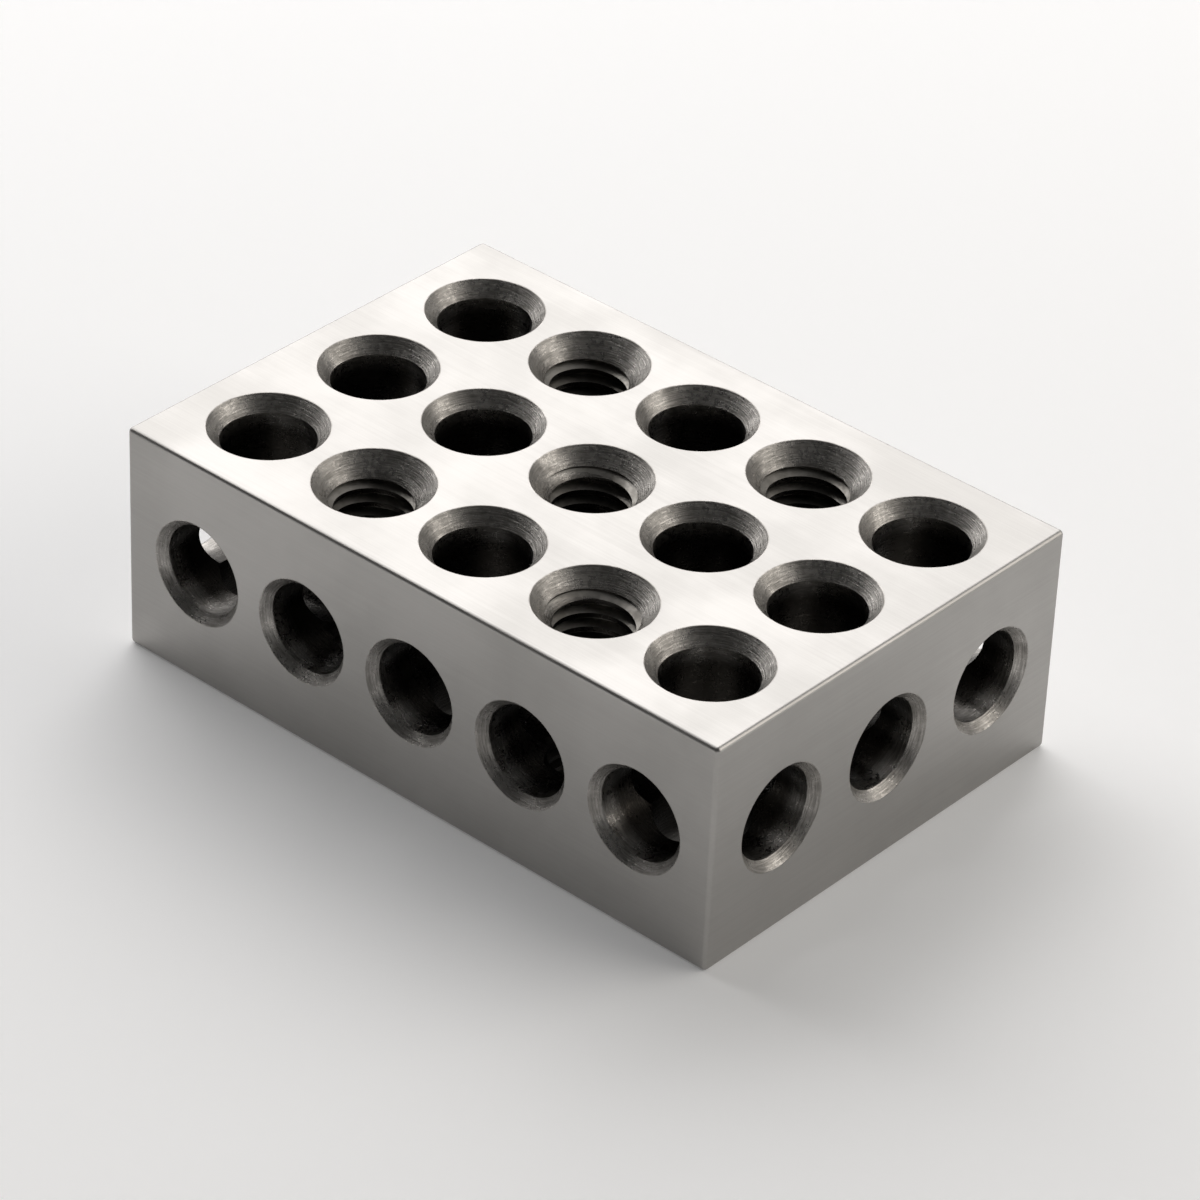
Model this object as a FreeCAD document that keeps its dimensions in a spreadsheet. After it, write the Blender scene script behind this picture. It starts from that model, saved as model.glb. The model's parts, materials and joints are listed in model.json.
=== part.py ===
"""Machinist setup block, 1 x 2 x 3 inch, of hardened and ground tool steel.

One solid of steel with twenty-three through holes, every one countersunk at both ends.
Fifteen run vertically in a grid of five columns and three rows. Five of those, set like
the five on a die, are tapped 3/8-16, and the other ten clear a 3/8 inch screw. Five more
clearance holes cross the block from one long side to the other, one under each column,
and three run its full length, one under each row. All eight lie at half the height, so
they meet the vertical holes inside the block.

Frame: the origin is at the centre of the bottom face, +X along the three-inch length,
+Y along the two-inch width and +Z up. Millimetres.
"""

import FreeCAD, Part
import math
import os

import Sketcher

Vector = FreeCAD.Vector

# Grid positions, as (column, row) counted from the -X, -Y corner, that are tapped.
TAPPED_POSITIONS = ((1, 0), (3, 0), (2, 1), (1, 2), (3, 2))


# ---------------------------------------------------------------------------------------
# Driving dimensions
# ---------------------------------------------------------------------------------------

DIMENSIONS = (
    # alias, value, what it is
    ("Length", 76.2, "three inches, along X"),
    ("Width", 50.8, "two inches, along Y"),
    ("Height", 25.4, "one inch, along Z"),
    ("EdgeBreak", 0.5, "leg of the 45 degree chamfer on all twelve edges"),
    ("Columns", 5, "holes in a row, along the length"),
    ("Rows", 3, "holes in a column, across the width"),
    ("EndMargin", 9.525, "end face to the nearest column of holes, 3/8 inch"),
    ("SideMargin", 9.9, "long side to the nearest row of holes"),
    ("CrossHeight", 12.7, "bottom face to the axes of the eight horizontal holes"),
    ("ClearanceBore", 9.6, "clears a 3/8 inch screw closely"),
    ("TapDrill", 7.94, "5/16 inch drill, minor diameter of the 3/8-16 thread"),
    ("BroadMouth", 12.25, "countersink diameter on the top and bottom faces"),
    ("SideMouth", 11.3, "countersink diameter on the four side faces"),
    ("SinkAngle", 82.0, "included angle of every countersink"),
)


def make_dimension_sheet(doc):
    """The spreadsheet that every feature below is bound to."""
    sheet = doc.addObject("Spreadsheet::Sheet", "Sizes")
    for row, (alias, value, meaning) in enumerate(DIMENSIONS, start=1):
        sheet.set(f"A{row}", meaning)
        sheet.set(f"B{row}", str(value))
        sheet.setAlias(f"B{row}", alias)
    doc.recompute()
    return sheet


# ---------------------------------------------------------------------------------------
# Sketch helpers
# ---------------------------------------------------------------------------------------

def origin_plane(body, role):
    """One of the body's own base planes, such as XY_Plane."""
    return next(item for item in body.Origin.OriginFeatures if item.Role == role)


def add_sketch(body, name, role, base=("0", "0", "0"), turn=0.0):
    """An empty sketch on a base plane, moved by expressions in the plane's own axes."""
    sketch = body.newObject("Sketcher::SketchObject", name)
    sketch.AttachmentSupport = [(origin_plane(body, role), "")]
    sketch.MapMode = "FlatFace"
    quarter_turn = FreeCAD.Rotation(Vector(0, 0, 1), turn)
    sketch.AttachmentOffset = FreeCAD.Placement(Vector(), quarter_turn)
    for axis, expression in zip("xyz", base):
        sketch.setExpression(f"AttachmentOffset.Base.{axis}", expression)
    return sketch


def add_polygon(sketch, corners):
    """A closed chain of straight lines through the corners, joined end to start."""
    points = [Vector(x, y, 0) for x, y in corners]
    count = len(points)
    for index in range(count):
        sketch.addGeometry(Part.LineSegment(points[index], points[(index + 1) % count]))
    for index in range(count):
        sketch.addConstraint(
            Sketcher.Constraint("Coincident", index, 2, (index + 1) % count, 1)
        )


def constrain(sketch, expression, kind, *arguments):
    """A sketch constraint whose value follows the spreadsheet."""
    index = sketch.addConstraint(Sketcher.Constraint(kind, *arguments))
    sketch.setExpression(f"Constraints[{index}]", expression)


# ---------------------------------------------------------------------------------------
# Features
# ---------------------------------------------------------------------------------------

def add_blank(body, sheet):
    """The rectangular blank, centred on Z, with its twelve edges broken."""
    sketch = add_sketch(body, "BlankOutline", "XY_Plane")
    half_length, half_width = sheet.Length / 2, sheet.Width / 2
    add_polygon(sketch, (
        (-half_length, -half_width),
        (half_length, -half_width),
        (half_length, half_width),
        (-half_length, half_width),
    ))
    for side, kind in enumerate(("Horizontal", "Vertical", "Horizontal", "Vertical")):
        sketch.addConstraint(Sketcher.Constraint(kind, side))
    sketch.addConstraint(Sketcher.Constraint("Symmetric", 0, 1, 1, 2, -1, 1))
    constrain(sketch, "Sizes.Length", "DistanceX", 0, 1, 0, 2, sheet.Length)
    constrain(sketch, "Sizes.Width", "DistanceY", 1, 1, 1, 2, sheet.Width)

    blank = body.newObject("PartDesign::Pad", "Blank")
    blank.Profile = sketch
    blank.setExpression("Length", "Sizes.Height")
    body.Document.recompute()

    edge_break = body.newObject("PartDesign::Chamfer", "BrokenEdges")
    every_edge = [f"Edge{number + 1}" for number in range(len(blank.Shape.Edges))]
    edge_break.Base = (blank, every_edge)
    edge_break.setExpression("Size", "Sizes.EdgeBreak")
    body.Document.recompute()


def half_section(sketch, sheet, span, bore, mouth):
    """Half of a through hole's lengthwise section, against the sketch's V axis.

    It starts at the sketch's origin, runs for span along +V, and opens from the bore to
    the mouth at both ends with the countersink's slope.
    """
    mouth_radius = getattr(sheet, mouth) / 2
    bore_radius = getattr(sheet, bore) / 2
    full_span = getattr(sheet, span)
    depth = (mouth_radius - bore_radius) / math.tan(math.radians(sheet.SinkAngle / 2))
    add_polygon(sketch, (
        (0, 0),
        (mouth_radius, 0),
        (bore_radius, depth),
        (bore_radius, full_span - depth),
        (mouth_radius, full_span),
        (0, full_span),
    ))
    near_end, near_cone, wall, far_cone, far_end, axis = range(6)
    sketch.addConstraint(Sketcher.Constraint("Coincident", near_end, 1, -1, 1))
    sketch.addConstraint(Sketcher.Constraint("Horizontal", near_end))
    sketch.addConstraint(Sketcher.Constraint("Horizontal", far_end))
    sketch.addConstraint(Sketcher.Constraint("Vertical", wall))
    sketch.addConstraint(Sketcher.Constraint("Vertical", axis))
    sketch.addConstraint(Sketcher.Constraint("Equal", near_end, far_end))
    sketch.addConstraint(Sketcher.Constraint("Equal", near_cone, far_cone))
    constrain(sketch, f"Sizes.{span}", "DistanceY", axis, 2, axis, 1, full_span)
    constrain(sketch, f"Sizes.{mouth} / 2", "DistanceX", near_end, 1, near_end, 2, mouth_radius)
    constrain(sketch, f"Sizes.{bore} / 2", "DistanceX", near_end, 1, near_cone, 2, bore_radius)
    constrain(
        sketch,
        f"(Sizes.{mouth} - Sizes.{bore}) / 2 / tan(Sizes.SinkAngle / 2 * 1 deg)",
        "DistanceY", near_end, 1, near_cone, 2, depth,
    )


def add_hole(body, sketch, name):
    """The half section turned a full circle about its own V axis and cut away."""
    hole = body.newObject("PartDesign::Groove", name)
    hole.Profile = sketch
    hole.ReferenceAxis = (sketch, ["V_Axis"])
    hole.Angle = 360
    body.Document.recompute()
    return hole


def repeat(body, hole, name, direction, extent, count):
    """Equal copies of a hole along one direction, from the first to the last."""
    pattern = body.newObject("PartDesign::LinearPattern", name)
    pattern.Originals = [hole]
    pattern.Direction = direction
    pattern.setExpression("Length", extent)
    pattern.setExpression("Occurrences", count)
    body.Tip = pattern
    body.Document.recompute()
    return pattern


ALONG = "(Sizes.Length - 2 * Sizes.EndMargin)"
ACROSS = "(Sizes.Width - 2 * Sizes.SideMargin)"
FIRST_COLUMN = "Sizes.EndMargin - Sizes.Length / 2"
FIRST_ROW = "Sizes.SideMargin - Sizes.Width / 2"


def add_vertical_holes(body, sheet):
    """All grid positions drilled for tapping and countersunk on both broad faces."""
    # This plane's own normal points along -Y, so the row's place changes sign.
    sketch = add_sketch(
        body, "VerticalHoleSection", "XZ_Plane", (FIRST_COLUMN, "0", f"-({FIRST_ROW})")
    )
    half_section(sketch, sheet, "Height", "TapDrill", "BroadMouth")
    first = add_hole(body, sketch, "VerticalHole")
    grid = repeat(body, first, "VerticalGrid", (sketch, ["H_Axis"]), ALONG, "Sizes.Columns")
    grid.Direction2 = (sketch, ["N_Axis"])
    grid.Reversed2 = True
    grid.setExpression("Length2", ACROSS)
    grid.setExpression("Occurrences2", "Sizes.Rows")
    body.Document.recompute()


def add_clearance_bores(body, sheet):
    """The grid positions that aren't tapped, opened up to the clearance size."""
    sketch = add_sketch(body, "ClearanceBoreCircles", "XY_Plane")
    columns, rows = int(sheet.Columns), int(sheet.Rows)
    radius = sheet.ClearanceBore / 2
    untapped = [
        (column, row)
        for row in range(rows)
        for column in range(columns)
        if (column, row) not in TAPPED_POSITIONS
    ]
    for index, (column, row) in enumerate(untapped):
        x = sheet.EndMargin + column * (sheet.Length - 2 * sheet.EndMargin) / (columns - 1)
        y = sheet.SideMargin + row * (sheet.Width - 2 * sheet.SideMargin) / (rows - 1)
        centre = Vector(x - sheet.Length / 2, y - sheet.Width / 2, 0)
        sketch.addGeometry(Part.Circle(centre, Vector(0, 0, 1), radius))
        x_rule = f"{FIRST_COLUMN} + {column} * {ALONG} / (Sizes.Columns - 1)"
        y_rule = f"{FIRST_ROW} + {row} * {ACROSS} / (Sizes.Rows - 1)"
        constrain(sketch, x_rule, "DistanceX", -1, 1, index, 3, centre.x)
        constrain(sketch, y_rule, "DistanceY", -1, 1, index, 3, centre.y)
        constrain(sketch, "Sizes.ClearanceBore / 2", "Radius", index, radius)

    before = body.Tip.Shape.Volume
    bores = body.newObject("PartDesign::Pocket", "ClearanceBores")
    bores.Profile = sketch
    bores.Type = "ThroughAll"
    bores.Reversed = True
    body.Document.recompute()
    if bores.Shape.Volume >= before:
        raise RuntimeError("the clearance bores removed nothing")


def add_crosswise_holes(body, sheet):
    """One hole under each column, from one long side to the other."""
    corner = (FIRST_COLUMN, "-Sizes.Width / 2", "Sizes.CrossHeight")
    sketch = add_sketch(body, "CrosswiseHoleSection", "XY_Plane", corner)
    half_section(sketch, sheet, "Width", "ClearanceBore", "SideMouth")
    first = add_hole(body, sketch, "CrosswiseHole")
    repeat(body, first, "CrosswiseHoles", (sketch, ["H_Axis"]), ALONG, "Sizes.Columns")


def add_lengthwise_holes(body, sheet):
    """One hole under each row, from one end face to the other."""
    corner = ("-Sizes.Length / 2", FIRST_ROW, "Sizes.CrossHeight")
    # Turned back a quarter, so that its V axis runs along +X and its H axis along -Y.
    sketch = add_sketch(body, "LengthwiseHoleSection", "XY_Plane", corner, turn=-90.0)
    half_section(sketch, sheet, "Length", "ClearanceBore", "SideMouth")
    first = add_hole(body, sketch, "LengthwiseHole")
    row_direction = (sketch, ["H_Axis"])
    holes = repeat(body, first, "LengthwiseHoles", row_direction, ACROSS, "Sizes.Rows")
    holes.Reversed = True
    body.Document.recompute()


def make_setup_block(doc, sheet):
    """The whole block, as one body."""
    body = doc.addObject("PartDesign::Body", "SetupBlock")
    body.Label = "setup_block"
    body.Placement = FreeCAD.Placement(Vector(0, 0, 0), FreeCAD.Rotation())
    add_blank(body, sheet)
    add_vertical_holes(body, sheet)
    add_clearance_bores(body, sheet)
    add_crosswise_holes(body, sheet)
    add_lengthwise_holes(body, sheet)
    return body


# ---------------------------------------------------------------------------------------
# Checks and export
# ---------------------------------------------------------------------------------------

def check_document(doc, sub_parts):
    """Stops if any object failed or any sub-part isn't one valid solid."""
    for item in doc.Objects:
        if "Invalid" in item.State or "Error" in item.State:
            raise RuntimeError(f"{item.Name} failed: {item.State}")
    for part in sub_parts:
        if part.Shape.isNull() or not part.Shape.isValid():
            raise RuntimeError(f"{part.Label} has no valid shape")
        if len(part.Shape.Solids) != 1:
            raise RuntimeError(f"{part.Label} has {len(part.Shape.Solids)} solids")


def export(sub_parts):
    """One STEP file for each sub-part, named after its label."""
    os.makedirs("parts", exist_ok=True)
    for part in sub_parts:
        part.Shape.exportStep(f"parts/{part.Label}.step")
        box = part.Shape.BoundBox
        print(
            f"{part.Label}: {box.XLength:.2f} x {box.YLength:.2f} x {box.ZLength:.2f} mm, "
            f"{part.Shape.Volume:.1f} mm3, {len(part.Shape.Faces)} faces"
        )


document = FreeCAD.newDocument("MachinistSetupBlock")
sizes = make_dimension_sheet(document)
parts = [make_setup_block(document, sizes)]
document.recompute()
check_document(document, parts)
export(parts)
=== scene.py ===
# %% [markdown]
# A setup block is a small brick of hardened steel that a machinist stands work on. All six
# faces are ground flat and square, and three sets of holes run straight through it, so that
# screws and clamps can pass. This lesson models one block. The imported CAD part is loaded
# first, because it fixes where everything is: the block's box and the axis of every hole
# are read from it and aren't typed in again.

# %% The frame
import json
import math

import bmesh
import bpy
from mathutils import Matrix, Vector


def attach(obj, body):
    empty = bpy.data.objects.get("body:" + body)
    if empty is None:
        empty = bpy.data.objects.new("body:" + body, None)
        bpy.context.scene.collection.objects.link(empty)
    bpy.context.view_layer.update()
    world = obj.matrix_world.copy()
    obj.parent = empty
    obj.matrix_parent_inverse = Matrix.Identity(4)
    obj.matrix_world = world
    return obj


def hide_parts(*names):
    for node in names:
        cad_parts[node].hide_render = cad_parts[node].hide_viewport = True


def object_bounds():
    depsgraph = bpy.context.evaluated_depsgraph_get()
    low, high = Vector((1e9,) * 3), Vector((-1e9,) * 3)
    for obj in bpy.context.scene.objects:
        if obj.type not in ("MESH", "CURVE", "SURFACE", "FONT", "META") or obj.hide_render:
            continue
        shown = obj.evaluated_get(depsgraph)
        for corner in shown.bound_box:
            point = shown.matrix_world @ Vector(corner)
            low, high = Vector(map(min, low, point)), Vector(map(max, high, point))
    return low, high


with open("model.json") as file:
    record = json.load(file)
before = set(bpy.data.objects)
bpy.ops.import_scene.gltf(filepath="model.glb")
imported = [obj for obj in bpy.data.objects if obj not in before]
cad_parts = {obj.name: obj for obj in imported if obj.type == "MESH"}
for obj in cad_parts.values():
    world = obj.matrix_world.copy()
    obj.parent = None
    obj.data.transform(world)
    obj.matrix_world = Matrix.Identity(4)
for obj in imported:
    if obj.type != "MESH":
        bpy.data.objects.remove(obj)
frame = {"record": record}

MM = 0.001
cad_low, cad_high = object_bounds()
block_size = cad_high - cad_low
block_centre = (cad_high + cad_low) / 2
mounts = frame["record"]["mounts"]
print("block, mm:", [round(side / MM, 2) for side in block_size])

# %% [markdown]
# The holes come in four families. Upright clearance holes let a screw slide through, upright
# tapped holes hold it, and two families of level holes cross the block from side to side and
# from end to end. Sorting them by name once keeps the later cells short.

# %% The four families of holes
families = {"clear": [], "tapped": [], "crosswise": [], "lengthwise": []}
for mount in mounts:
    family = mount["name"].split("_")[0]
    if family in families:
        families[family].append(Vector(mount["pos_m"]))
print("holes:", {name: len(places) for name, places in families.items()})

# %% [markdown]
# The blank is a plain box whose edges are eased so that they don't cut hands. A cube from
# the operator, scaled and then beveled on all twelve edges, gives exactly that. Four
# segments make a small round, since grinding and tumbling leave no second sharp corner.

# %% The blank
EDGE_BREAK = 0.5 * MM

blank = bmesh.new()
bmesh.ops.create_cube(blank, size=1.0)
bmesh.ops.scale(blank, vec=block_size, verts=blank.verts)
bmesh.ops.translate(blank, vec=block_centre, verts=blank.verts)
bmesh.ops.bevel(
    blank, geom=blank.edges[:], offset=EDGE_BREAK, offset_type="OFFSET", affect="EDGES",
    segments=4, profile=0.5, material=-1,
)
print("blank:", len(blank.faces), "faces")

# %% [markdown]
# A hole is made as on a drill press: a cutter with the hole's own outline is taken away from
# the blank. The outline is drawn once as half of the hole's lengthwise section, and spun
# round the hole's axis. It widens at both ends into a countersink, and a tiny step rounds
# the rim, because a deburred rim is never quite sharp and that is what catches the light.

# %% Cutters by spinning
SINK_HALF_ANGLE = math.radians(82.0 / 2)
RIM_BREAK = 0.09 * MM
OVERRUN = 1.0 * MM
HOLE_STEPS = 96


def count_open_edges(mesh):
    return sum(1 for edge in mesh.edges if len(edge.link_faces) != 2)


def half_outline(span, bore, mouth):
    """Points (radius, height) of a through hole's half section, centred on height 0."""
    half = span / 2
    sink = (mouth - bore) / math.tan(SINK_HALF_ANGLE)
    upper = [
        (bore, half - sink - 2 * RIM_BREAK),
        (bore + RIM_BREAK * 0.4, half - sink),
        (mouth - RIM_BREAK * 0.6, half - RIM_BREAK * 0.8),
        (mouth + RIM_BREAK * 0.1, half - RIM_BREAK * 0.2),
        (mouth + RIM_BREAK, half),
        (mouth + RIM_BREAK, half + OVERRUN),
        (0.0, half + OVERRUN),
    ]
    lower = [(radius, -height) for radius, height in reversed(upper)]
    return lower + upper


def spin_cutter(outline, steps=HOLE_STEPS):
    """A closed turned solid about Z from a half outline that starts and ends on the axis."""
    cutter = bmesh.new()
    points = [cutter.verts.new((radius, 0.0, height)) for radius, height in outline]
    line = [cutter.edges.new(pair) for pair in zip(points, points[1:])]
    bmesh.ops.spin(
        cutter, geom=points + line, cent=(0, 0, 0), axis=(0, 0, 1), dvec=(0, 0, 0),
        angle=math.tau, steps=steps, use_merge=True, use_duplicate=False,
    )
    bmesh.ops.remove_doubles(cutter, verts=cutter.verts, dist=1e-7)
    bmesh.ops.recalc_face_normals(cutter, faces=cutter.faces)
    return cutter


# %% [markdown]
# One cutter of each family is enough: it is copied to every axis of its family. The cutters
# of one family never touch each other, which the solid difference needs. Level families are
# the same turned shape, laid over onto the Y or the X axis.

# %% One set of cutters for each family
CLEARANCE = 9.6 / 2 * MM
TAP_DRILL = 7.94 / 2 * MM
BROAD_MOUTH = 12.25 / 2 * MM
SIDE_MOUTH = 11.3 / 2 * MM
ONTO_Y = Matrix.Rotation(math.radians(90), 4, "X")
ONTO_X = Matrix.Rotation(math.radians(90), 4, "Y")


def cutter_set(name, single, places, turn=None):
    """An object that holds one copy of the cutter at each place."""
    pattern = bpy.data.meshes.new(name + "_pattern")
    single.to_mesh(pattern)
    single.free()
    gathered = bmesh.new()
    for place in places:
        first = len(gathered.verts)
        gathered.from_mesh(pattern)
        fresh = gathered.verts[first:]
        if turn is not None:
            bmesh.ops.transform(gathered, matrix=turn, verts=fresh)
        bmesh.ops.translate(gathered, vec=place, verts=fresh)
    print(name, "cutters:", len(places), "open edges:", count_open_edges(gathered))
    mesh = bpy.data.meshes.new(name)
    gathered.to_mesh(mesh)
    gathered.free()
    bpy.data.meshes.remove(pattern)
    cutters = bpy.data.objects.new(name, mesh)
    bpy.context.scene.collection.objects.link(cutters)
    return cutters


upright = half_outline(block_size.z, CLEARANCE, BROAD_MOUTH)
threaded = half_outline(block_size.z, TAP_DRILL, BROAD_MOUTH)
across = half_outline(block_size.y, CLEARANCE, SIDE_MOUTH)
along = half_outline(block_size.x, CLEARANCE, SIDE_MOUTH)
cutters = [
    cutter_set("clearance_cutters", spin_cutter(upright), families["clear"]),
    cutter_set("tap_drill_cutters", spin_cutter(threaded), families["tapped"]),
    cutter_set("crosswise_cutters", spin_cutter(across), families["crosswise"], ONTO_Y),
    cutter_set("lengthwise_cutters", spin_cutter(along), families["lengthwise"], ONTO_X),
]

# %% [markdown]
# The thread is cut as a tap cuts it, with one V-shaped groove that climbs round the hole.
# A bump map could fake it, but inside a bright hole the ridges stand against each other and
# their outline shows. One turn of the groove is a small section spun round while it rises.
# The whole thread is that turn stacked and merged, which is far quicker than one long spin.
# Each hole was started by hand, so each thread begins at its own angle.

# %% The thread cutters
PITCH = 25.4 / 16 * MM
THREAD_MAJOR = 9.525 / 2 * MM
CREST_FLAT = PITCH / 8
TURN_STEPS = 48
START_ANGLES = (20.0, 205.0, 180.0, 355.0, 300.0)


def spin_thread(start_angle):
    """A closed coil, the groove of one thread, that runs past both ends of the hole."""
    inner = TAP_DRILL - 0.08 * MM
    rise = (THREAD_MAJOR - inner) * math.tan(math.radians(30)) + CREST_FLAT / 2
    turns = math.ceil(block_size.z / PITCH) + 4
    corners = [
        (inner, -rise), (THREAD_MAJOR, -CREST_FLAT / 2),
        (THREAD_MAJOR, CREST_FLAT / 2), (inner, rise),
    ]
    coil = bmesh.new()
    points = [coil.verts.new((radius, 0, height)) for radius, height in corners]
    sides = [coil.edges.new((points[i], points[(i + 1) % 4])) for i in range(4)]
    bmesh.ops.spin(
        coil, geom=points + sides, cent=(0, 0, 0), axis=(0, 0, 1),
        dvec=(0, 0, PITCH / TURN_STEPS), angle=math.tau, steps=TURN_STEPS,
        use_merge=False, use_duplicate=False,
    )
    one_turn = coil.verts[:] + coil.edges[:] + coil.faces[:]
    for number in range(1, turns):
        copied = bmesh.ops.duplicate(coil, geom=one_turn)["geom"]
        raised = [item for item in copied if isinstance(item, bmesh.types.BMVert)]
        bmesh.ops.translate(coil, vec=(0, 0, PITCH * number), verts=raised)
    bmesh.ops.remove_doubles(coil, verts=coil.verts, dist=1e-7)
    ends = [edge for edge in coil.edges if edge.is_boundary]
    bmesh.ops.holes_fill(coil, edges=ends, sides=4)
    bmesh.ops.translate(coil, vec=(0, 0, -turns * PITCH / 2), verts=coil.verts)
    turned = Matrix.Rotation(math.radians(start_angle), 4, "Z")
    bmesh.ops.transform(coil, matrix=turned, verts=coil.verts)
    bmesh.ops.recalc_face_normals(coil, faces=coil.faces)
    return coil


for number, (place, start_angle) in enumerate(zip(families["tapped"], START_ANGLES), 1):
    cutters.append(cutter_set(f"thread_cutter_{number}", spin_thread(start_angle), [place]))

# %% [markdown]
# Now the cutters are taken away one set after another. The Boolean modifier does it, and
# its result is kept as a plain mesh, so that no cutter is left in the scene. Faces cut by a
# set keep a mark of their own: each cutter carries a material, which the cut hands on.

# %% Cutting the block
FINISHES = ("ground_face", "upright_hole", "crosswise_hole", "lengthwise_hole", "screw_thread")
finishes = {name: bpy.data.materials.new(name) for name in FINISHES}
CUT_BY = {"clearance": "upright_hole", "tap": "upright_hole", "crosswise": "crosswise_hole",
          "lengthwise": "lengthwise_hole", "thread": "screw_thread"}

block_mesh = bpy.data.meshes.new("drilled_block")
blank.to_mesh(block_mesh)
blank.free()
block = bpy.data.objects.new("drilled_block", block_mesh)
bpy.context.scene.collection.objects.link(block)
for name in FINISHES:
    block_mesh.materials.append(finishes[name])
for cutter in cutters:
    cutter.data.materials.append(finishes[CUT_BY[cutter.name.split("_")[0]]])
    cut = block.modifiers.new(cutter.name, "BOOLEAN")
    cut.operation = "DIFFERENCE"
    cut.solver = "MANIFOLD"
    cut.object = cutter

bpy.context.view_layer.update()
drilled = bpy.data.meshes.new_from_object(
    block.evaluated_get(bpy.context.evaluated_depsgraph_get())
)
block.modifiers.clear()
block.data = drilled
bpy.data.meshes.remove(block_mesh)
drilled.name = "drilled_block"
for cutter in cutters:
    spent = cutter.data
    bpy.data.objects.remove(cutter)
    bpy.data.meshes.remove(spent)
print("drilled block:", len(drilled.polygons), "faces,", [m.name for m in drilled.materials])

# %% [markdown]
# Flat faces must stay flat to the eye while the bores and the eased edges look round. Edges
# that turn by more than a set angle are kept sharp, and the rest are shaded smooth with
# normals weighted by face area, so the wide ground faces aren't tinted by their rims.

# %% Shading
check = bmesh.new()
check.from_mesh(drilled)
bmesh.ops.remove_doubles(check, verts=check.verts, dist=2e-7)
bmesh.ops.dissolve_degenerate(check, edges=check.edges, dist=2e-7)
print("open edges after cutting:", count_open_edges(check))
check.to_mesh(drilled)
check.free()
drilled.shade_smooth()
drilled.set_sharp_from_angle(angle=math.radians(28))
even = block.modifiers.new("even_normals", "WEIGHTED_NORMAL")
even.mode = "FACE_AREA"
even.keep_sharp = True

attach(block, "root")
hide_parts("setup_block")
print("triangles:", sum(len(face.vertices) - 2 for face in drilled.polygons))

# %% [markdown]
# The finishes share a few effects, so each effect is a node group that is built once. A
# short helper makes a group with named sockets, and another adds a node with its values
# set, which keeps the cells below readable.

# %% Helpers for node groups
def new_group(name, inputs, outputs):
    group = bpy.data.node_groups.new(name, "ShaderNodeTree")
    for socket, kind, value in inputs:
        made = group.interface.new_socket(name=socket, in_out="INPUT", socket_type=kind)
        made.default_value = value
    for socket, kind in outputs:
        group.interface.new_socket(name=socket, in_out="OUTPUT", socket_type=kind)
    return group, group.nodes.new("NodeGroupInput"), group.nodes.new("NodeGroupOutput")


def add(tree, kind, values=None, **settings):
    node = tree.nodes.new(kind)
    for key, value in settings.items():
        setattr(node, key, value)
    for socket, value in (values or {}).items():
        if isinstance(value, bpy.types.NodeSocket):
            tree.links.new(value, node.inputs[socket])
        else:
            node.inputs[socket].default_value = value
    return node


def maths(tree, operation, first, second=0.0, clamp=False):
    return add(
        tree, "ShaderNodeMath", {0: first, 1: second}, operation=operation, use_clamp=clamp
    ).outputs[0]


def remap(tree, value, low, high, to_low=0.0, to_high=1.0):
    node = add(
        tree, "ShaderNodeMapRange",
        {"Value": value, "From Min": low, "From Max": high, "To Min": to_low, "To Max": to_high},
        interpolation_type="SMOOTHSTEP",
    )
    return node.outputs[0]


# %% [markdown]
# A surface grinder draws its wheel along the block and leaves fine parallel lines. On the
# ends the lines run across. Noise that is stretched along the stroke gives those lines, and
# the surface's own direction tells the ends from the other faces.

# %% Grinding lines
grinding, g_in, g_out = new_group(
    "grinding_lines",
    [("Lines per Metre", "NodeSocketFloat", 5200.0), ("Depth", "NodeSocketFloat", 1.0)],
    [("Height", "NodeSocketFloat"), ("Streak", "NodeSocketFloat")],
)
where = add(grinding, "ShaderNodeTexCoord")
facing = add(grinding, "ShaderNodeSeparateXYZ", {0: where.outputs["Normal"]})
on_end = remap(grinding, maths(grinding, "ABSOLUTE", facing.outputs["X"]), 0.6, 0.8)
strokes = []
for squeeze in ((0.012, 1.0, 1.0), (1.0, 0.012, 1.0)):
    squeezed = add(
        grinding, "ShaderNodeVectorMath",
        {0: where.outputs["Object"], 1: squeeze}, operation="MULTIPLY",
    )
    strokes.append(add(
        grinding, "ShaderNodeTexNoise",
        {"Vector": squeezed.outputs[0], "Scale": g_in.outputs["Lines per Metre"],
         "Detail": 3.0, "Roughness": 0.6},
    ).outputs["Fac"])
chosen = add(grinding, "ShaderNodeMix", {"Factor": on_end, 2: strokes[0], 3: strokes[1]})
grinding.links.new(maths(grinding, "MULTIPLY", chosen.outputs[0], g_in.outputs["Depth"]),
                   g_out.inputs["Height"])
grinding.links.new(remap(grinding, chosen.outputs[0], 0.3, 0.7), g_out.inputs["Streak"])
print("group:", grinding.name, len(grinding.nodes), "nodes")

# %% [markdown]
# Steel that is handled and wiped with oil is never one even grey. Soft clouds a few
# millimetres wide, with finer specks in them, stand for that film. The same clouds later
# change colour a little and roughness a little more.

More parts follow.
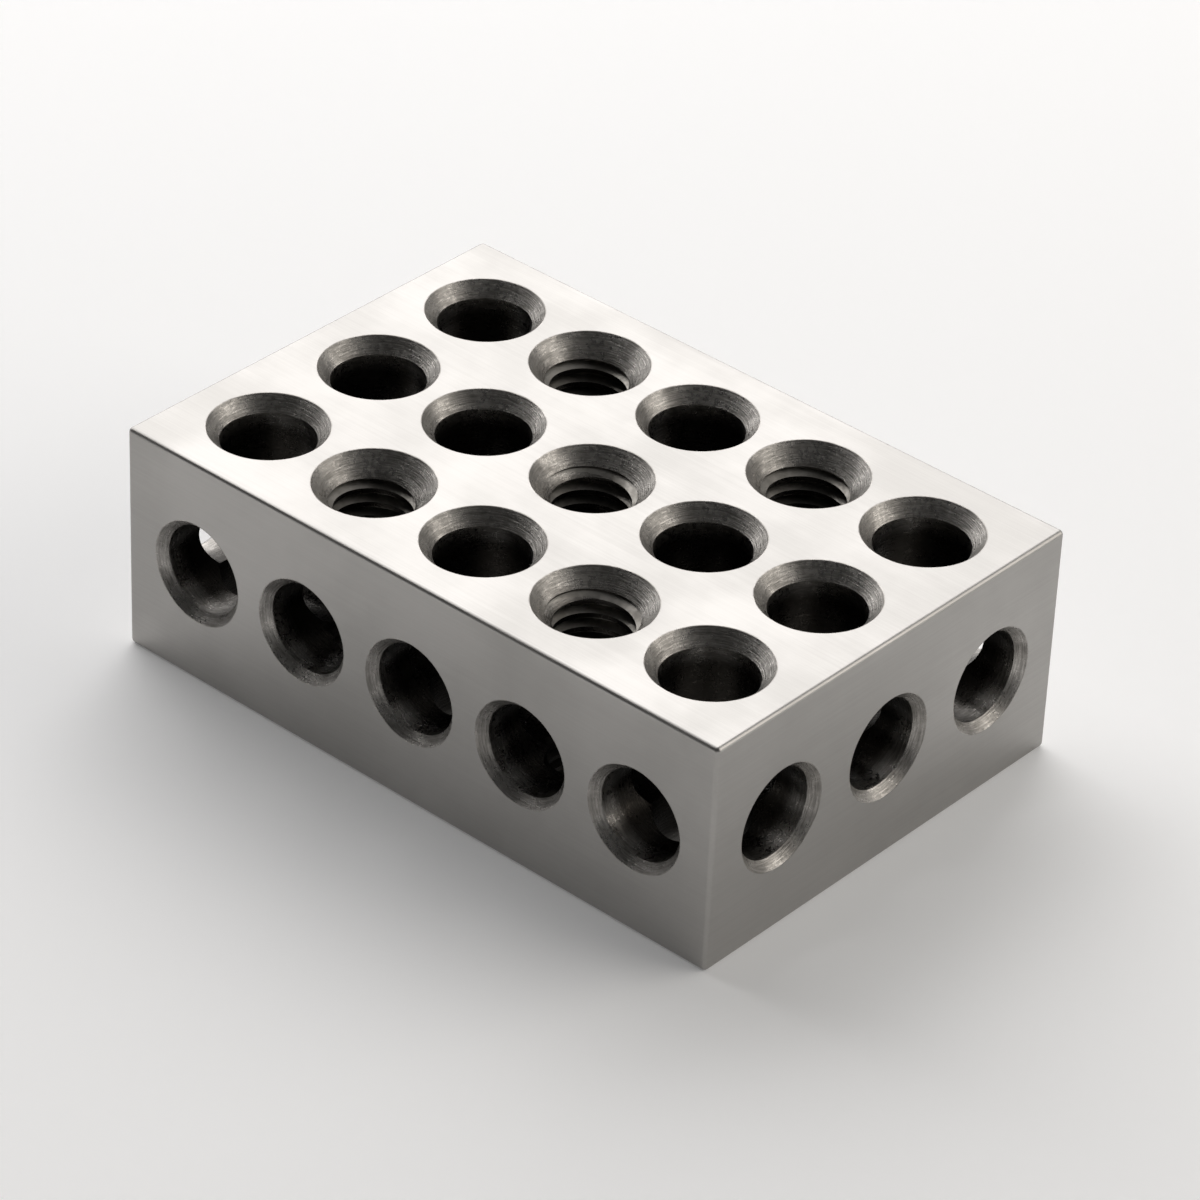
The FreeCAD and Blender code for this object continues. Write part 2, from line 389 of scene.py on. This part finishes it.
# %% Oil clouds
clouds, g_in, g_out = new_group(
    "oil_clouds",
    [("Clouds per Metre", "NodeSocketFloat", 70.0), ("Specks per Metre", "NodeSocketFloat", 1500.0)],
    [("Cloud", "NodeSocketFloat"), ("Speck", "NodeSocketFloat")],
)
where = add(clouds, "ShaderNodeTexCoord")
broad = add(clouds, "ShaderNodeTexNoise", {
    "Vector": where.outputs["Object"], "Scale": g_in.outputs["Clouds per Metre"],
    "Detail": 4.0, "Roughness": 0.55,
})
fine = add(clouds, "ShaderNodeTexNoise", {
    "Vector": where.outputs["Object"], "Scale": g_in.outputs["Specks per Metre"],
    "Detail": 2.0, "Roughness": 0.6,
})
clouds.links.new(remap(clouds, broad.outputs["Fac"], 0.3, 0.7), g_out.inputs["Cloud"])
clouds.links.new(remap(clouds, fine.outputs["Fac"], 0.35, 0.65), g_out.inputs["Speck"])
print("group:", clouds.name, len(clouds.nodes), "nodes")

# %% [markdown]
# The countersink's tool turns, so its marks are arcs round the hole. The holes stand on an
# even grid, and wrapping the position into one grid cell measures from the nearest axis for
# every hole of a family at once. Noise that changes fast outwards and slowly round the hole
# makes arcs that start and stop, as real marks do, where plain rings would look printed.

# %% Tool marks round the holes
COLUMN_PITCH = abs(families["crosswise"][1].x - families["crosswise"][0].x)
ROW_PITCH = abs(families["lengthwise"][1].y - families["lengthwise"][0].y)
print("hole grid, mm:", round(COLUMN_PITCH / MM, 3), round(ROW_PITCH / MM, 3))

arcs, g_in, g_out = new_group(
    "tool_marks",
    [("Across the Axis", "NodeSocketVector", (1.0, 1.0, 0.0)),
     ("Arcs per Metre", "NodeSocketFloat", 4200.0),
     ("Breaks per Turn", "NodeSocketFloat", 2.2)],
    [("Arc", "NodeSocketFloat"), ("Patch", "NodeSocketFloat"), ("Depth", "NodeSocketFloat")],
)
where = add(arcs, "ShaderNodeTexCoord")
centred = add(arcs, "ShaderNodeVectorMath",
              {0: where.outputs["Object"], 1: tuple(block_centre)}, operation="SUBTRACT")
cell = (COLUMN_PITCH / 2, ROW_PITCH / 2, block_size.z)
wrapped = add(arcs, "ShaderNodeVectorMath",
              {0: centred.outputs[0], 1: cell, 2: tuple(-side for side in cell)},
              operation="WRAP")
outward = add(arcs, "ShaderNodeVectorMath",
              {0: wrapped.outputs[0], 1: g_in.outputs["Across the Axis"]}, operation="MULTIPLY")
radius = add(arcs, "ShaderNodeVectorMath", {0: outward.outputs[0]}, operation="LENGTH")
round_it = add(arcs, "ShaderNodeVectorMath", {0: outward.outputs[0]}, operation="NORMALIZE")
from_centre = add(arcs, "ShaderNodeVectorMath", {0: centred.outputs[0]}, operation="ABSOLUTE")
to_faces = add(arcs, "ShaderNodeVectorMath",
               {0: tuple(block_size / 2), 1: from_centre.outputs[0]}, operation="SUBTRACT")
along_axis = add(arcs, "ShaderNodeVectorMath",
                 {0: (1.0, 1.0, 1.0), 1: g_in.outputs["Across the Axis"]}, operation="SUBTRACT")
depth = add(arcs, "ShaderNodeVectorMath",
            {0: to_faces.outputs[0], 1: along_axis.outputs[0]}, operation="DOT_PRODUCT")
down_the_cone = maths(arcs, "SUBTRACT", radius.outputs["Value"], depth.outputs["Value"])
turned = add(arcs, "ShaderNodeVectorMath", operation="SCALE")
arcs.links.new(round_it.outputs[0], turned.inputs[0])
arcs.links.new(g_in.outputs["Breaks per Turn"], turned.inputs["Scale"])
spread = add(arcs, "ShaderNodeVectorMath",
             {0: turned.outputs[0], 1: where.outputs["Object"]}, operation="ADD")
scratch = add(
    arcs, "ShaderNodeTexNoise",
    {"Vector": spread.outputs[0],
     "W": maths(arcs, "MULTIPLY", down_the_cone, g_in.outputs["Arcs per Metre"]),
     "Scale": 1.0, "Detail": 4.0, "Roughness": 0.7}, noise_dimensions="4D",
)
patch = add(
    arcs, "ShaderNodeTexNoise",
    {"Vector": where.outputs["Object"], "Scale": 420.0, "Detail": 3.0, "Roughness": 0.6},
)
arcs.links.new(remap(arcs, scratch.outputs["Fac"], 0.3, 0.7), g_out.inputs["Arc"])
arcs.links.new(remap(arcs, patch.outputs["Fac"], 0.32, 0.68), g_out.inputs["Patch"])
arcs.links.new(depth.outputs["Value"], g_out.inputs["Depth"])
print("group:", arcs.name, len(arcs.nodes), "nodes")

# %% [markdown]
# The ground faces come first, because they are most of what one sees. Ground steel is a
# metal with a satin face: the shine is broad and soft. Its colour is a slightly warm grey,
# clouded by the oil film, and the grinding lines stir both roughness and relief.

# %% Finish of the ground faces
def finish_tree(name):
    material = finishes[name]
    material.use_nodes = True
    tree = material.node_tree
    tree.nodes.clear()
    shader = tree.nodes.new("ShaderNodeBsdfPrincipled")
    surface = tree.nodes.new("ShaderNodeOutputMaterial")
    tree.links.new(shader.outputs["BSDF"], surface.inputs["Surface"])
    return tree, shader


def place_group(tree, group, **values):
    node = add(tree, "ShaderNodeGroup", node_tree=group)
    for socket, value in values.items():
        node.inputs[socket.replace("_", " ")].default_value = value
    return node


def tint(tree, factor, dark, light):
    node = add(tree, "ShaderNodeMix", data_type="RGBA")
    tree.links.new(factor, node.inputs["Factor"])
    node.inputs[6].default_value = (*dark, 1.0)
    node.inputs[7].default_value = (*light, 1.0)
    return node.outputs[2]


tree, shader = finish_tree("ground_face")
lines = place_group(tree, grinding)
film = place_group(tree, clouds)
mixed = maths(tree, "ADD", maths(tree, "MULTIPLY", film.outputs["Cloud"], 0.7),
              maths(tree, "MULTIPLY", lines.outputs["Streak"], 0.3))
tree.links.new(tint(tree, mixed, (0.355, 0.345, 0.33), (0.405, 0.393, 0.378)),
               shader.inputs["Base Color"])
tree.links.new(remap(tree, mixed, 0.0, 1.0, 0.42, 0.34), shader.inputs["Roughness"])
shader.inputs["Metallic"].default_value = 1.0
relief = add(tree, "ShaderNodeBump", {
    "Strength": 0.12, "Distance": 0.00002, "Height": lines.outputs["Height"],
})
tree.links.new(relief.outputs["Normal"], shader.inputs["Normal"])
print("finish:", "ground_face", len(tree.nodes), "nodes")

# %% [markdown]
# Only the outside is ground. Countersinks are a darker grey, scratched bright in arcs where
# tools and screws have rubbed. One recipe serves all three families, and only the direction
# of the axis differs. The depth below the face tells the scratched cone from the bore, and
# the bore is painted near black deeper down, as painted shade.

# %% Finish of the holes
# The near black colour of the painted shade inside the bores.
PAINTED_SHADE_DARK = (0.045, 0.041, 0.036)


def hole_finish(name, across):
    tree, shader = finish_tree(name)
    marks = place_group(tree, arcs, Across_the_Axis=across)
    film = place_group(tree, clouds, Clouds_per_Metre=260.0, Specks_per_Metre=2400.0)
    rubbed = maths(tree, "ADD", maths(tree, "MULTIPLY", marks.outputs["Arc"], 0.55),
                   maths(tree, "MULTIPLY", marks.outputs["Patch"], 0.45))
    cone = tint(tree, rubbed, (0.13, 0.123, 0.113), (0.46, 0.44, 0.415))
    # Painted shade: below the countersink the colour fades to near black deeper into the bore.
    painted_shade_depth = remap(tree, marks.outputs["Depth"], 0.0014, 0.0036)
    steel = add(tree, "ShaderNodeMix", data_type="RGBA")
    tree.links.new(painted_shade_depth, steel.inputs["Factor"])
    tree.links.new(cone, steel.inputs[6])
    steel.inputs[7].default_value = (*PAINTED_SHADE_DARK, 1.0)
    tree.links.new(steel.outputs[2], shader.inputs["Base Color"])
    worn = maths(tree, "MULTIPLY", rubbed, film.outputs["Speck"])
    tree.links.new(remap(tree, worn, 0.0, 0.8, 0.38, 0.2), shader.inputs["Roughness"])
    shader.inputs["Metallic"].default_value = 1.0
    relief = add(tree, "ShaderNodeBump", {
        "Strength": 0.5, "Distance": 0.00005, "Height": marks.outputs["Arc"],
    })
    tree.links.new(relief.outputs["Normal"], shader.inputs["Normal"])
    print("finish:", name, len(tree.nodes), "nodes")


hole_finish("upright_hole", (1.0, 1.0, 0.0))
hole_finish("crosswise_hole", (1.0, 0.0, 1.0))
hole_finish("lengthwise_hole", (0.0, 1.0, 1.0))

# %% [markdown]
# A cut thread is the same steel, torn a little by the tap. Its flanks stay oily and its
# crests catch the light, which the real ridges do by themselves once they are geometry, so
# the finish gives patches of oil and some tooth. It also paints shade: the thread darkens to
# near black deeper in the hole.

# %% Finish of the threads
tree, shader = finish_tree("screw_thread")
film = place_group(tree, clouds, Clouds_per_Metre=380.0, Specks_per_Metre=2600.0)
marks = place_group(tree, arcs)
# Painted shade: the thread's colour fades to near black deeper into the hole.
thread_painted_shade = remap(tree, marks.outputs["Depth"], 0.003, 0.009)
fresh = tint(tree, film.outputs["Cloud"], (0.17, 0.16, 0.145), (0.34, 0.325, 0.30))
steel = add(tree, "ShaderNodeMix", data_type="RGBA")
tree.links.new(thread_painted_shade, steel.inputs["Factor"])
tree.links.new(fresh, steel.inputs[6])
# The near black colour of the painted shade deep in the thread.
steel.inputs[7].default_value = (0.05, 0.046, 0.04, 1.0)
tree.links.new(steel.outputs[2], shader.inputs["Base Color"])
tree.links.new(remap(tree, film.outputs["Speck"], 0.0, 1.0, 0.5, 0.36), shader.inputs["Roughness"])
shader.inputs["Metallic"].default_value = 1.0
print("finish:", "screw_thread", len(tree.nodes), "nodes")

# %% [markdown]
# The block stands on a plain pale sheet that is wide enough to fill the view. A sheet made
# from the grid operator will do, since nothing on it may draw the eye. It is lifted to white
# only where a ray looks at it, straight or by way of the metal, so it throws no extra light
# on the block and keeps the block's shadow.

# %% The floor
floor_form = bmesh.new()
bmesh.ops.create_grid(floor_form, x_segments=1, y_segments=1, size=3.0)
floor_mesh = bpy.data.meshes.new("floor")
floor_form.to_mesh(floor_mesh)
floor_form.free()
floor = bpy.data.objects.new("floor", floor_mesh)
bpy.context.scene.collection.objects.link(floor)
finishes["pale_paper"] = bpy.data.materials.new("pale_paper")
floor_mesh.materials.append(finishes["pale_paper"])
tree, shader = finish_tree("pale_paper")
tooth = place_group(tree, clouds, Clouds_per_Metre=4.0, Specks_per_Metre=900.0)
tree.links.new(tint(tree, tooth.outputs["Speck"], (0.885, 0.885, 0.885), (0.9, 0.9, 0.9)),
               shader.inputs["Base Color"])
shader.inputs["Roughness"].default_value = 0.9
shader.inputs["Specular IOR Level"].default_value = 0.2
rays = add(tree, "ShaderNodeLightPath")
looked_at = maths(tree, "MAXIMUM", rays.outputs["Is Camera Ray"], rays.outputs["Is Glossy Ray"])
looked_at = maths(tree, "MAXIMUM", looked_at, rays.outputs["Is Transmission Ray"])
shader.inputs["Emission Color"].default_value = (1.0, 1.0, 1.0, 1.0)
tree.links.new(maths(tree, "MULTIPLY", looked_at, 0.12), shader.inputs["Emission Strength"])
print("floor:", floor.dimensions[:2])

# %% [markdown]
# Satin steel shows the room more than its own colour, so the lamps do the modelling. One
# large soft lamp hangs behind and to the left, where the top face mirrors it, and the block
# then shades its own front. A dimmer lamp behind on the right gives the far rims an edge.

# %% Lamps and the room
def soft_lamp(name, azimuth, elevation, distance, width, height, power, colour):
    """A rectangular lamp that faces the block. Azimuth turns from +X towards +Y."""
    turn, tilt = math.radians(azimuth), math.radians(elevation)
    outward = Vector((
        math.cos(turn) * math.cos(tilt), math.sin(turn) * math.cos(tilt), math.sin(tilt)
    ))
    data = bpy.data.lights.new(name, "AREA")
    data.shape = "RECTANGLE"
    data.size, data.size_y = width, height
    data.energy = power
    data.color = colour
    lamp = bpy.data.objects.new(name, data)
    lamp.location = block_centre + outward * distance
    lamp.rotation_euler = (-outward).to_track_quat("-Z", "Y").to_euler()
    bpy.context.scene.collection.objects.link(lamp)
    print(name, [round(value, 3) for value in lamp.location])
    return lamp


soft_lamp("key_lamp", 150.0, 36.0, 0.75, 1.1, 0.85, 7.0, (1.0, 0.985, 0.98))
soft_lamp("side_lamp", 42.0, 28.0, 0.8, 0.75, 0.5, 2.2, (1.0, 0.95, 0.88))

# %% [markdown]
# The rest of the room is a pale low wall all round, with a dim ceiling that is darker in
# front than behind. The dim front is what draws the dark line along the block's front edge,
# since metal can only show a line where its surroundings change.

# %% The room
world = bpy.data.worlds.new("studio_room")
bpy.context.scene.world = world
world.use_nodes = True
room = world.node_tree
towards = add(room, "ShaderNodeSeparateXYZ",
              {0: add(room, "ShaderNodeTexCoord").outputs["Generated"]})
ceiling = remap(room, towards.outputs["Y"], -0.4, 0.7, 0.05, 0.4)
above_wall = remap(room, towards.outputs["Z"], 0.1, 0.2)
brightness = add(room, "ShaderNodeMix", {"Factor": above_wall, 2: 0.4, 3: ceiling})
room.links.new(brightness.outputs[0], room.nodes["Background"].inputs["Strength"])
room.nodes["Background"].inputs["Color"].default_value = (1.0, 1.0, 1.0, 1.0)
print("room:", len(room.nodes), "nodes")

# %% [markdown]
# The camera looks down at about a third of a right angle, from in front and to the right, so
# that the top, a long side and an end all show. It is far enough off for the block to look
# its small size, and it is rolled very slightly, as a hand-held camera is.

# %% The camera
AIM = Vector((1.4, 0.3, 11.7)) * MM
camera_data = bpy.data.cameras.new("camera")
camera_data.lens = 165.0
camera_data.sensor_width = 36.0
camera_data.clip_start = 0.01
camera = bpy.data.objects.new("camera", camera_data)
bpy.context.scene.collection.objects.link(camera)
side, down = math.radians(40.48), math.radians(34.22)
sight = Vector((-math.sin(side) * math.cos(down), math.cos(side) * math.cos(down), -math.sin(down)))
roll = Matrix.Rotation(math.radians(2.55), 3, "Z")
camera.location = AIM - sight * 0.538
camera.rotation_euler = (sight.to_track_quat("-Z", "Y").to_matrix() @ roll).to_euler()
bpy.context.scene.camera = camera
bpy.context.scene.view_settings.view_transform = "Standard"
print("camera:", [round(value, 4) for value in camera.location])
